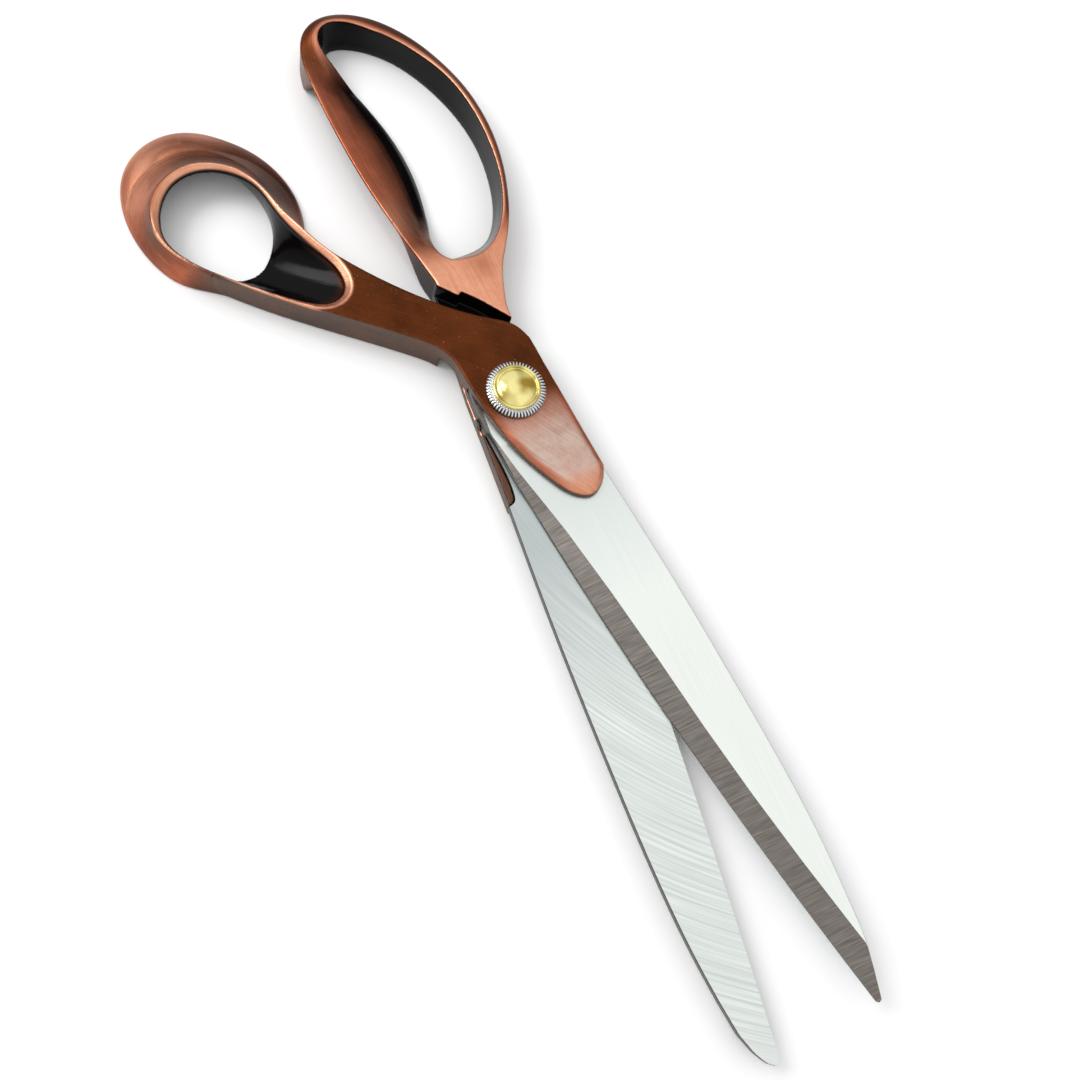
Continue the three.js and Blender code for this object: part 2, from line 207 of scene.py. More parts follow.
def skin(field, low, high, cell):
    """Points and quads of the surface where a field is zero, inside a box."""
    axes = [np.arange(a, b + cell, cell) for a, b in zip(low, high)]
    grid = np.meshgrid(*axes, indexing="ij")
    f = field(*grid)
    shape = [s - 1 for s in f.shape]
    total = np.zeros(shape + [3])
    count = np.zeros(shape)
    quads = []
    place = np.full(shape, -1)
    crossings = []
    for axis in range(3):
        a = [slice(None)] * 3
        b = [slice(None)] * 3
        a[axis], b[axis] = slice(0, -1), slice(1, None)
        fa, fb = f[tuple(a)], f[tuple(b)]
        crossed = (fa < 0) != (fb < 0)
        i = np.stack(np.nonzero(crossed), 1)
        ga, gb = fa[crossed], fb[crossed]
        point = i.astype(float)
        point[:, axis] += ga / (ga - gb)
        others = [k for k in range(3) if k != axis]
        around = []
        for du, dv in ((0, 0), (-1, 0), (-1, -1), (0, -1)):
            c = i.copy()
            c[:, others[0]] += du
            c[:, others[1]] += dv
            np.add.at(total, tuple(c.T), point)
            np.add.at(count, tuple(c.T), 1)
            around.append(c)
        crossings.append((axis, ga < 0, around))
    used = count > 0
    place[used] = np.arange(used.sum())
    points = total[used] / count[used][:, None] * cell + np.array([a[0] for a in axes])
    for axis, outward, around in crossings:
        ids = np.stack([place[tuple(c.T)] for c in around], 1)
        flip = outward if axis != 1 else ~outward
        ids[~flip] = ids[~flip][:, ::-1]
        quads.append(ids)
    quads = np.vstack(quads)
    reach = cell / 2
    for _ in range(4):
        value, normal = slope_of(field, points, cell / 8)
        move = value[:, None] * normal
        length = np.linalg.norm(move, axis=1, keepdims=True)
        points = points - move * np.minimum(1, reach / np.maximum(length, 1e-9))
    return points, quads


def slope_of(field, points, reach):
    """A field's distance and unit outward direction at each point."""
    x, y, z = points.T
    gradient = np.stack(
        [
            field(x + reach, y, z) - field(x - reach, y, z),
            field(x, y + reach, z) - field(x, y - reach, z),
            field(x, y, z + reach) - field(x, y, z - reach),
        ],
        1,
    ) / (2 * reach)
    steep = np.maximum(np.linalg.norm(gradient, axis=1), 0.2)
    return field(x, y, z) / steep, gradient / steep[:, None]


# ---- Making objects ----


def make(name, points, faces, body, nodes, materials):
    mesh = bpy.data.meshes.new(name)
    mesh.from_pydata((np.asarray(points) * MM).tolist(), [], [list(map(int, f)) for f in faces])
    mesh.update()
    for material in materials:
        mesh.materials.append(material)
    mesh.shade_smooth()
    piece = bpy.data.objects.new(name, mesh)
    bpy.context.scene.collection.objects.link(piece)
    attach(piece, body)
    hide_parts(*nodes)
    return piece


def paint(piece, name, values):
    """Stores one number, or one vector, for each vertex."""
    values = np.asarray(values, np.float32)
    vector = values.ndim == 2
    kind = "FLOAT_VECTOR" if vector else "FLOAT"
    layer = piece.data.attributes.new(name, kind, "POINT")
    layer.data.foreach_set("vector" if vector else "value", values.ravel())


# ---- Outlines ----

LIP = [(-5, 11.3), (10, 12.4), (27.3, 13.6)]
FINGER_LIP = [(-5, -10.7), (10, -12.0), (27.3, -13.5)]
TONGUE = [(27.3, 13.6), (31.5, 11.2), (33.8, 7), (32, 3), (26, -1.3), (13, -7), (0, -10)]


def mirrored(points):
    return [(x, -y) for x, y in points]


FINGER_BOW = [
    (-7, 10.3), (-15, 9.8), (-21, 8.8), (-29, 10.6), (-36, 13.6), (-43.4, 18.4), (-50.2, 22.3),
    (-57.5, 25.5), (-66.6, 28.2), (-75.7, 29.6), (-84.3, 29.7), (-93.4, 28.5), (-103, 25.5),
    (-110.5, 22), (-117, 17.6), (-122.6, 12), (-126.4, 5), (-127, -3), (-123.4, -9),
    (-117, -12.1), (-105, -13.5), (-88, -13.3), (-68, -11.7), (-50, -8.8), (-37, -6.5),
]
BOW_RIM = [
    (-41.2, 4), (-41, 8), (-42.8, 13), (-47.5, 18), (-54, 22), (-64, 25.4), (-74, 26.8), (-90, 26.2),
    (-98.5, 23.9), (-106, 20), (-113.5, 14.6), (-119, 9), (-123.2, 3), (-123.6, -2.5), (-119.5, -5.9),
    (-113, -4.4), (-105, -0.6), (-98, 1.6), (-88, 3.7), (-80, 4.4), (-72, 4.2), (-64, 2.8), (-56, 0),
    (-50, -2), (-45, -1.6), (-42, 0.8),
]
BOW_FLOOR = [
    (-47.2, 7), (-47.4, 10.5), (-48.5, 15), (-52, 19), (-58.3, 22.6), (-67, 25.3), (-77, 26.6), (-89, 25.7),
    (-97, 23.6), (-106.4, 19.6), (-112.6, 15.7), (-118, 10.4), (-121.6, 4.2), (-122.1, -1.4), (-118.8, -4.1),
    (-112.5, -2.9), (-105, -0.2), (-98, 1.7), (-88, 3.8), (-80, 4.5), (-72, 4.3), (-64, 3.2), (-56, 1.4),
    (-51.2, 0.6), (-48.3, 2.2), (-47.3, 4.6),
]
FINGER_STOP = [
    (-37, -7.4), (-35.6, -6.3), (-31.2, -2.3), (-32, -1.1), (-28.1, 2.6), (-20.7, 8.2),
    (-17, 12), (60, 20), (60, -30), (-37, -30),
]
THUMB_EDGE = [
    (0, -10), (-8, -10.9), (-14, -11.6), (-19, -14), (-23, -18), (-36, -33.9), (-50, -50.6),
    (-60, -60.8), (-68, -67.2), (-75, -69.6), (-80, -69.3), (-86, -66.4), (-90, -61.2), (-91.7, -55),
    (-90.5, -49.5), (-87, -43.8), (-80, -39.2), (-70, -36.2), (-63.5, -33.2), (-57, -30.2),
    (-50, -25.6), (-40, -17.4), (-32, -9.6), (-27, -3.9), (-22, 3.3), (-18, 8.5), (-13, 10.8),
]
FLANGE = [
    (-66, -69.2), (-71, -71.9), (-78.3, -74), (-85.8, -74.6), (-93.7, -73.5), (-101.6, -69.8),
    (-107.4, -62.5), (-109, -55), (-107.6, -48.1), (-102.8, -40.8), (-96.8, -35.1), (-88.2, -30.6),
    (-79, -29), (-72.5, -29.7), (-66.5, -31.8), (-59, -40), (-57, -50), (-60, -62),
]
PASSAGE_RIM = [
    (-41.1, -34), (-43.2, -30.2), (-49, -29.3), (-58, -33), (-72, -38.3), (-80.5, -40.4),
    (-86.8, -46), (-89.3, -53.5), (-87.7, -60), (-83.6, -64.5), (-78.1, -67.3), (-73, -68),
    (-67.1, -65.9), (-60.6, -60.8), (-55, -55), (-49, -48), (-43.2, -40.4),
]
PASSAGE_FLOOR = [
    (-60.3, -51), (-60.6, -48.6), (-61.6, -46.2), (-63.8, -43.6), (-71.7, -39.1), (-81, -38.8),
    (-92, -43), (-98.9, -51.5), (-98.6, -58.8), (-94.2, -64.4), (-87.8, -67.8), (-80, -68.5),
    (-72.6, -66.2), (-66.6, -61.9), (-63, -57.8), (-61, -54.4), (-60.3, -52.3),
]
NOTCH = [(27.5, 13.9), (26.8, 12), (24.5, 11.1), (10, 10.9), (-7, 10.4)]
TANG = [(-7, 10.4), (-13.5, 7.2), (-16.4, 0), (-13.5, -7), (-7, -10), (8, -10.6), (24, -9.3)]
THUMB_SPINE = [(27.5, 13.9), (60, 17.1), (100, 19.8), (135, 20.9), (160, 19.6)]
FINGER_SPINE = [(27.5, 13.9), (60, 17.1), (100, 20), (135, 21.5), (150, 21.3), (160, 20.7)]

finger_outer = Plan(joined(FINGER_LIP, mirrored(TONGUE), FINGER_BOW), WIDE_BAND)
bow_way = Loft(BOW_RIM, BOW_FLOOR, WIDE_BAND, 3)
bow_rim, bow_floor = bow_way.plans[0], bow_way.plans[-1]
finger_stop = Plan(np.array(FINGER_STOP, float))
thumb_outer = Plan(joined(LIP, TONGUE, THUMB_EDGE))
flange_outer = Plan(spline(FLANGE, closed=True))
passage = Loft(PASSAGE_RIM, PASSAGE_FLOOR, BAND, 8)
passage_rim = passage.plans[0]


# ---- Blades ----


def thumb_edge(x):
    return -11.16 + 0.0761 * x + 0.000405 * x * x


def finger_edge(x):
    return -11.9 + 0.1116 * x + 0.000174 * x * x


THUMB_TIP = [(163, 19.2), (170.5, 17.8), (177.1, 16.4), (177.5, 15.6)]
FINGER_TIP = [(168, 19.9), (173, 18.5), (176.4, 16.8), (177.9, 15.1), (178.2, 14.1)]
THUMB_BEVEL = [
    (-16, -8), (8, -10.4), (20, -8.2), (30, -5.8), (40, -3.5), (60, 0.2),
    (80, 3.4), (100, 6.3), (120, 9.7), (140, 13.6), (160, 17.9), (180, 22.6),
]
FINGER_BEVEL = [(x, y - 0.3) for x, y in THUMB_BEVEL]
EDGE_LAND = 0.5  # height of the cutting edge below its bevel
EDGE_CHAMFER = 0.16
ROUND_TURNS = np.linspace(0, 2 * math.pi, 48, endpoint=False)
ROUND_HOLE = [(3.1 * math.cos(a), 3.1 * math.sin(a)) for a in ROUND_TURNS]
SQUARE_HOLE = [(3.6, -3.6), (3.6, 3.6), (-3.6, 3.6), (-3.6, -3.6)]
FACE, BEVEL, BACK, INNER = range(4)  # the blade's materials, in the order of its slots


def chains(edge, spine, tip):
    """The far and the near side of a blade's outline, each as y against x."""
    far = [spline(TANG[:3])[::-1], spline(NOTCH)[::-1], spline(spine), np.array(tip)]
    cutting = [(x, edge(x)) for x in np.arange(30, 177, 4.0)] + [(177.0, edge(177.0)), tip[-1]]
    near = [spline(TANG[2:]), np.array(cutting)]
    return [np.vstack(c) for c in (far, near)]


def along(chain, x):
    order = np.argsort(chain[:, 0], kind="stable")
    return np.interp(x, chain[order, 0], chain[order, 1])


def blade_outline(edge, spine, tip):
    far, near = chains(edge, spine, tip)
    return np.vstack([far, near[::-1]])


finger_tang = Plan(blade_outline(finger_edge, FINGER_SPINE, FINGER_TIP) * [1, -1])
thumb_tang = Plan(blade_outline(thumb_edge, THUMB_SPINE, THUMB_TIP))


def blade(name, edge, spine, tip, bevel, bottom, top, side, body, materials, hole):
    """A blade with its flat face at bottom and its bevel at top, mirrored over by side -1."""
    far, near = chains(edge, spine, tip)
    start, end = TANG[2][0] + 0.02, tip[-1][0] - 0.03
    round_end = start + 9 * (1 - np.cos(np.linspace(0, math.pi / 2, 14)))
    rest = np.arange(round_end[-1] + 1, end - 1.5, 1.0)
    step = np.linspace(24, 28, 25)
    point = np.linspace(end - 1.5, end, 10)
    x = np.unique(np.concatenate([round_end, rest, step, point]))
    y_far, y_near = along(far, x), along(near, x)
    chamfer = np.minimum(EDGE_CHAMFER, (y_far - y_near) / 4)
    full = np.interp(x, *np.array(bevel).T)
    y_bevel = np.clip(full, y_near + 0.02, y_far - chamfer)
    share = np.clip((y_bevel - y_near) / np.maximum(full - y_near, 0.05), 0, 1)
    heel = ramp(x, 8, 34)
    low = bottom + (top - bottom) * (1 - heel) + EDGE_LAND * heel
    crest = low + (top - low) * share
    c = chamfer
    section = [
        (y_near, np.full_like(x, bottom)),
        (y_near, low - 0.01),
        (y_bevel, crest),
        (y_far - c, crest),
        (y_far, crest - c),
        (y_far, bottom + c),
        (y_far - c, np.full_like(x, bottom)),
    ]
    middle = (bottom + top) / 2
    points = []
    for y, z in section:
        points.append(np.stack([x, side * y, z], 1))
    points = np.stack(points, 1)
    if side < 0:
        points[:, :, 2] = 2 * middle - points[:, :, 2]
    n, k = points.shape[:2]
    faces = []
    slots = []
    for i in range(n - 1):
        for j in range(k):
            nxt = (j + 1) % k
            quad = [i * k + j, i * k + nxt, (i + 1) * k + nxt, (i + 1) * k + j]
            faces.append(quad)
            slots.append({1: BEVEL, 2: FACE, 6: INNER}.get(j, BACK))
    for end_ring in (0, n - 1):
        faces.append([end_ring * k + j for j in range(k)])
        slots.append(BACK)
    node = name.replace("_steel", "")
    piece = make(name, points.reshape(-1, 3), faces, body, [node], materials)
    piece.data.polygons.foreach_set("material_index", slots)
    work = bmesh.new()
    work.from_mesh(piece.data)
    bmesh.ops.recalc_face_normals(work, faces=work.faces)
    work.to_mesh(piece.data)
    work.free()
    piece.data.set_sharp_from_angle(angle=math.radians(12))
    bore(piece, hole, bottom, top)
    return piece


def bore(piece, hole, bottom, top):
    """Cuts a hole with the given plan through a piece."""
    ring = [(x, y, z) for z in (bottom - 1, top + 1) for x, y in hole]
    k = len(hole)
    sides = [(i, (i + 1) % k, k + (i + 1) % k, k + i) for i in range(k)]
    caps = [tuple(reversed(range(k))), tuple(range(k, 2 * k))]
    mesh = bpy.data.meshes.new("bore")
    mesh.from_pydata([tuple(v * MM for v in p) for p in ring], [], sides + caps)
    cutter = bpy.data.objects.new("bore", mesh)
    bpy.context.scene.collection.objects.link(cutter)
    step = piece.modifiers.new("bore", "BOOLEAN")
    step.operation = "DIFFERENCE"
    step.object = cutter
    made = bpy.data.meshes.new_from_object(piece.evaluated_get(bpy.context.evaluated_depsgraph_get()))
    piece.modifiers.remove(step)
    piece.data = made
    bpy.data.objects.remove(cutter)


# ---- Handles ----


LAP_LINE = -13.0  # the thumb handle is only half as thick on the blades' side of this line
NECK_BORE = 5.05  # radii of the holes for the bolt
COUNTERBORE = 6.8
COUNTERBORE_DEPTH = 1.7
HANDLE_BORE = 3.35


def rotate(x, y, degrees):
    a = math.radians(degrees)
    return x * math.cos(a) + y * math.sin(a), -x * math.sin(a) + y * math.cos(a)


def share_of(lead, rest):
    """How far a point lies from the edge that lead is measured from, to the one rest is: 0 to 1."""
    lead, rest = np.maximum(lead, 0), np.maximum(rest, 0)
    return lead / np.maximum(lead + rest, 0.2)


def wide_limb(x, y):
    """1 on the broad near limb of the finger bow, fading out at both of its ends."""
    return ramp(x, -122, -104) * (1 - ramp(x, -62, -40)) * (1 - ramp(y, 4, 12))


def limb_keel(x, y):
    """Underside of the broad limb: it rises to a thin outer edge."""
    fade = ramp(x, -113, -106) * (1 - ramp(x, -56, -40)) * (1 - ramp(y, 3, 9))
    share = share_of(-finger_outer(x, y), bow_floor(x, y))
    return 9.8 * fade * np.clip(1 - share / 0.62, 0, 1)


def bow_opening(x, y, z):
    """Way through the finger bow: its walls lean in towards the underside."""
    return bow_way(x, y, (TOP - z) / TOP)


def limb_share(x, y):
    """0 at the outer edge of the broad limb, 1 at the edge of the opening below it."""
    return share_of(-finger_outer(x, y), bow_floor(x, y))


def bow_crest(x, y):
    """Top of the finger handle: the broad limb slopes to the opening, the rim rolls outwards."""
    limb = wide_limb(x, y)
    rim = share_of(-finger_outer(x, y), bow_rim(x, y))
    roll = (1 - ramp(x, -60, -44)) * (1 - limb)
    return TOP - 8.6 * limb * limb_share(x, y) ** 1.25 - 1.3 * roll * (1 - rim) ** 1.7


def finger_field(x, y, z):
    body = both(finger_outer(x, y), (z - bow_crest(x, y)) * 0.92, 0.4)
    body = both(body, (limb_keel(x, y) - z) * 0.8, 0.4)
    body = cut(body, bow_opening(x, y, z), 0.35)
    beyond = both(finger_stop(x, y), FINGER_BLADE[1] - z)
    body = cut(body, beyond, 0.2)
    tang = both(finger_tang(x, y) - GAP, FINGER_BLADE[0] - GAP - z)
    body = cut(body, tang, 0.12)
    radius = np.hypot(x, y)
    body = cut(body, radius - NECK_BORE)
    return cut(body, both(radius - COUNTERBORE, z - COUNTERBORE_DEPTH))


def flange_height(x, y):
    """Top of the ring's flange: it falls from under the lip to the flange's outer edge."""
    share = share_of(thumb_outer(x, y), -flange_outer(x, y))
    return 1.4 + 8.4 * (1 - share) ** 1.12


def passage_field(x, y, z):
    """The thumb's way through: upright at its top, then it leans away from the blades."""
    upright = 1.8
    return passage(x, y, np.clip((TOP - upright - z) / (TOP - upright), 0, 1) ** 1.1)


def thumb_field(x, y, z):
    outer = thumb_outer(x, y)
    crest = TOP - tongue_fall(x, y)
    arm = both(outer, (z - crest) * 0.95, 0.45)
    flange = both(flange_outer(x, y), (z - flange_height(x, y)) * 0.75, 0.9)
    body = either(arm, flange, 1.6)
    body = both(body, -z, 0.5)
    lap = both(both(z - THUMB_BLADE[0], LAP_LINE - y), -45 - x)
    body = cut(body, lap, 0.2)
    body = cut(body, passage_field(x, y, z), 0.5)
    rim = passage_rim(x, y)
    bowl = (np.maximum(rim, -1) - 1.7) * 0.6 + (TOP - z) * 0.8
    body = cut(body, both(bowl, rim - 3))
    tang = both(thumb_tang(x, y) - GAP, z - (THUMB_BLADE[1] + GAP))
    body = cut(body, tang, 0.12)
    return cut(body, np.hypot(x, y) - HANDLE_BORE)


def tongue_fall(x, y):
    """How far the tongue's top falls towards its edges: a band along its near side and its tip."""
    inner = -thumb_outer(x, y)
    near = ramp(x, -8, 24) * (1 - ramp(y, 4, 11) * 0.5)
    width = 0.2 + 2.6 * near
    band = np.clip(1 - inner / np.maximum(width, 0.1), 0, 1)
    far = ramp(x, -14, -2) * ramp(y, -2, 9)
    gentle = np.clip(1 - inner / 5.0, 0, 1) ** 1.6
    return 1.35 * near * band**1.1 + 0.35 * far * gentle


def grain_of(x, y, z, side):
    """Coordinates in mm along and across the brushing."""
    if side == "finger":
        t = ramp(x, -52, -38)
        across = -finger_outer(x, y) * (1 - t) + y * t
        return np.stack([x, across, z], 1)
    angle = np.arctan2(y + 53, x + 72)
    ring_u = angle * 22
    ring_v = thumb_outer(x, y)
    arm_u, arm_v = rotate(x, y, 50)
    tip_u, tip_v = rotate(x, y, 33)
    t = ramp(x, -64, -52)
    s = ramp(x, -24, -8)
    u = ring_u * (1 - t) + t * (arm_u * (1 - s) + tip_u * s)
    v = ring_v * (1 - t) + t * (arm_v * (1 - s) + tip_v * s)
    return np.stack([u, v, z], 1)


def spot(x, y, place, reach):
    """1 at a place on the plan, fading out smoothly about as far as reach."""
    return np.exp(-((x - place[0]) ** 2 + (y - place[1]) ** 2) / reach**2)


def paint_all(piece, **layers):
    for name, values in layers.items():
        paint(piece, name, np.clip(values, 0, 1))


def finger_handle(material):
    points, quads = skin(finger_field, (-129, -15, -1), (35, 31, 12), HANDLE_CELL)
    replaced = ["finger_handle"]
    piece = make("finger_handle_copper", points, quads, "finger_half", replaced, [material])
    x, y, z = points.T
    _, normal = slope_of(finger_field, points, 0.1)
    limb = wide_limb(x, y)
    slope = limb_share(x, y)
    level = ramp(normal[:, 2], 0.3, 0.8)
    bow = 1 - ramp(x, -44, -38)
    walls = (1 - ramp(bow_opening(x, y, z), 0.15, 0.5)) * (1 - level * (1 - limb)) * bow
    strip = limb * ramp(slope, 0.58, 0.76)
    # painted shadow: the stop recess under the thumb handle's edge is blackened
    recess = (1 - ramp(finger_stop(x, y), 0.05, 0.35)) * (1 - ramp(z, TOP - 0.4, TOP - 0.1))
    recess = recess * ramp(z, 2.2, 4) * (1 - ramp(x, -4, 0))
    beside = ramp(x, -52, -44) * (1 - ramp(x, -20, -14)) * (1 - ramp(y, -5, -4))
    shank_wall = beside * (1 - ramp(z, 9.5, 10.5))
    rim = share_of(-finger_outer(x, y), bow_rim(x, y))
    far_rim = (1 - limb) * (1 - ramp(x, -54, -42))
    # painted highlight: a bright line along the inner edge of the far rim
    line = far_rim * ramp(rim, 0.55, 0.88) * level
    shank = ramp(x, -52, -38) * level * (1 - 0.55 * spot(x, y, (-38, 8), 4))
    # painted sheen: a grey line at the opening's edge below the broad limb, and grey low on the bow's black
    # walls
    ledge = limb * ramp(slope, 0.9, 0.97) * ramp(x, -100, -80)
    # painted shade on the outer side of the far rim, where it rolls away from the light
    outer = far_rim * (1 - ramp(rim, 0.35, 0.85))
    end = 1 - ramp(x, -116, -104)
    # painted shade: the broad limb darkens as it slopes down to the opening
    gradual = 0.6 * limb * ramp(slope, 0.25, 0.6)
    rubbed = 0.4 * limb * spot(x, y, (-58, -8), 7)
    # painted shade on the tongue's top beside the blades, under the thumb handle
    beside_blade = 0.85 * ramp(x, -14, -6) * ramp(z, 3, 4)
    paint_all(
        piece,
        hollow=np.maximum.reduce([walls, strip, recess, 0.9 * shank_wall, beside_blade]),
        worn=np.maximum.reduce([line * (0.9 - 0.4 * end), 0.85 * shank, rubbed]),
        shade=np.maximum.reduce([1 - level, outer, gradual, 0.8 * end * (1 - line)]),
        wall=(1 - level) * ramp(x, -20, -5),
        ledge=np.maximum(ledge, 0.2 * walls * (1 - ramp(z, 0, 3)) * (1 - limb)),
        veil=np.zeros_like(x),
    )
    paint(piece, "brush", grain_of(x, y, z, "finger"))
    return piece


def thumb_handle(material):
    points, quads = skin(thumb_field, (-110.5, -76, -1), (35, 15, 12), HANDLE_CELL)
    replaced = ["thumb_handle"]
    piece = make("thumb_handle_copper", points, quads, "thumb_half", replaced, [material])
    x, y, z = points.T
    _, normal = slope_of(thumb_field, points, 0.1)
    level = ramp(normal[:, 2], 0.35, 0.8)
    rim = passage_rim(x, y)
    scoop = ramp(x, -64, -50)
    depth = TOP - z
    inside = 1 - ramp(passage_field(x, y, z), 0.3, 0.9)
    hollow = inside * (ramp(depth, 0.5, 1.2) * (1 - scoop) + ramp(depth, 0.8, 3.2) * scoop)
    # the copper rim round the scoop, with a painted highlight where it rounds over
    band = (1 - ramp(rim, 1.6, 2.4)) * ramp(z, TOP - 1.8, TOP - 0.9)
    tip = ramp(x, 24, 33) * level
    arm = ramp(x, -64, -50) * (1 - ramp(x, 0, 12))
    ring = 1 - ramp(x, -66, -58)
    under_lip = ramp(z, 4, 9) * (1 - band)
    # painted shade and dark reflections on the ring's flange, and a darker painted band next to the lip
    smudges = spot(x, y, (-94, -40), 11) + 0.8 * spot(x, y, (-80, -32), 9) + spot(x, y, (-71, -33), 8)
    smudges += 0.6 * spot(x, y, (-76, -72), 8) + 0.7 * spot(x, y, (-96, -55), 7) + 0.4 * under_lip
    # painted highlights where the flange faces the light
    glints = spot(x, y, (-102, -65), 9) + 0.8 * spot(x, y, (-90, -72), 6) + 0.5 * spot(x, y, (-104, -47), 6)
    # bright tongue edge: partly worn plating, partly a painted highlight
    edge = ramp(x, 2, 16) * ramp(-thumb_outer(x, y), 0.5, 0.0) * (1 - ramp(y, 4, 11))
    paint_all(
        piece,
        hollow=hollow,
        worn=np.maximum.reduce([band, 0.75 * tip, 0.6 * ring * glints * level, edge * level]),
        shade=np.maximum.reduce([arm * level, (1 - level) * (1 - ring), ring * smudges * (1 - band)]),
        wall=(1 - level) * (1 - ring),
        ledge=np.zeros_like(x),
        # painted reflection of a softbox greys the tongue
        veil=ramp(x, 1, 18) * (1 - ramp(x, 26, 33)) * level * ramp(-thumb_outer(x, y), 0.6, 2.6),
    )
    paint(piece, "brush", grain_of(x, y, z, "thumb"))
    return piece


# ---- Pivot ----


def lathe(section, sides, groove=None):
    """Points and quads of a section turned about the pivot axis; groove moves each ring's points."""
    section = np.array(section, float)
    angles = np.linspace(0, 2 * math.pi, sides, endpoint=False)
    rings = []
    for a in angles:
        ring = section if groove is None else groove(section, a)
        rings.append(np.stack([ring[:, 0] * math.cos(a), ring[:, 0] * math.sin(a), ring[:, 1]], 1))
    k = len(section)
    faces = []
    for i in range(sides):
        n = (i + 1) % sides
        for j in range(k - 1):
            faces.append([i * k + j, n * k + j, n * k + j + 1, i * k + j + 1])
    return np.vstack(rings), faces


def closed_up(piece):
    work = bmesh.new()
    work.from_mesh(piece.data)
    bmesh.ops.remove_doubles(work, verts=work.verts, dist=1e-6)
    bmesh.ops.recalc_face_normals(work, faces=work.faces)
    work.to_mesh(piece.data)
    work.free()


NUT_TEETH = 54
NUT_RADIUS = 8.1
NUT_BORE = 3.2
CAP_RADIUS = 6.45
BOLT_HEAD_RADIUS = 6.5


def nut(material):
    base, top = NUT
    r = NUT_RADIUS
    under = [(NUT_BORE, base), (7.2, base), (r - 0.1, base), (r, base + 0.12)]
    side = [(r, top - 0.5), (r - 0.12, top - 0.36), (r - 0.75, top - 0.02), (r - 0.9, top)]
    face = [(6.7, top), (6.5, top), (NUT_BORE, top), (NUT_BORE, base)]
    section = under + side + face

    def groove(ring, angle):
        wave = (angle * NUT_TEETH / (2 * math.pi)) % 1
        deep = float(ramp(abs(wave - 0.5), 0.32, 0.14))
        out = ring.copy()
        outer = ramp(ring[:, 0], 6.45, 7.0)
        out[:, 0] -= 0.18 * deep * ramp(ring[:, 0], 7.0, 7.9)
        upper = ring[:, 1] > base + 0.5
        out[:, 1] -= np.where(upper, 0.42 * deep * outer, 0)
        return out

    points, faces = lathe(section, NUT_TEETH * 10, groove)
    replaced = ["tension_nut"]
    piece = make("tension_nut_teeth", points, faces, "tension_wheel", replaced, [material])
    closed_up(piece)
    piece.data.set_sharp_from_angle(angle=math.radians(40))
    places = np.array([v.co for v in piece.data.vertices]) / MM
    wave = (np.arctan2(places[:, 1], places[:, 0]) * NUT_TEETH / (2 * math.pi)) % 1
    outside = ramp(np.hypot(places[:, 0], places[:, 1]), 6.45, 6.8)
    # painted shade: the grooves between the teeth are darkened
    paint(piece, "groove", outside * ramp(abs(wave - 0.5), 0.24, 0.08))
    return piece


def cap(material):
    base, crown = CAP
    r = CAP_RADIUS
    profile = [(0.0, base), (r - 0.1, base), (r, base + 0.1), (r, base + 0.7)]
    for t in np.linspace(0, math.pi, 9):
        profile.append((r - 0.42 + 0.42 * math.cos(t), base + 0.75 + 0.34 * math.sin(t)))
    profile += [(r - 0.95, base + 0.62), (r - 1.15, base + 0.6), (r - 1.4, base + 0.72)]
    for s in np.linspace(r - 1.6, 0, 14):
        profile.append((s, base + 0.8 + (crown - base - 0.8) * (1 - (s / (r - 1.4)) ** 2) * 0.999))
    points, faces = lathe(profile, 128)
    piece = make("nut_cap_brass", points, faces, "tension_wheel", ["nut_cap"], [material])
    closed_up(piece)
    return piece


def bolt_field(x, y, z):
    radius = np.hypot(x, y)
    head = both(radius - BOLT_HEAD_RADIUS, slab(z, 0.1, 1.4), 0.35)
    neck = both(np.maximum(abs(x), abs(y)) - 3.3, slab(z, 1, FINGER_BLADE[1]))
    shank = both(radius - 3.0, slab(z, 1, NUT[1] - 0.3), 0.3)
    slot = both(abs(y) - 0.6, z - 0.95, 0)
    return cut(either(either(head, neck), shank), slot, 0.1)


def bolt(material):
    points, quads = skin(bolt_field, (-7, -7, -0.4), (7, 7, 12.9), 0.24)
    return make("pivot_bolt_slotted", points, quads, "finger_half", ["pivot_bolt"], [material])


# ---- Materials ----


def srgb(r, g, b):
    """Linear colour from 0 to 255 screen values."""

    def linear(v):
        v /= 255
        return v / 12.92 if v <= 0.04045 else ((v + 0.055) / 1.055) ** 2.4

    return (linear(r), linear(g), linear(b), 1.0)


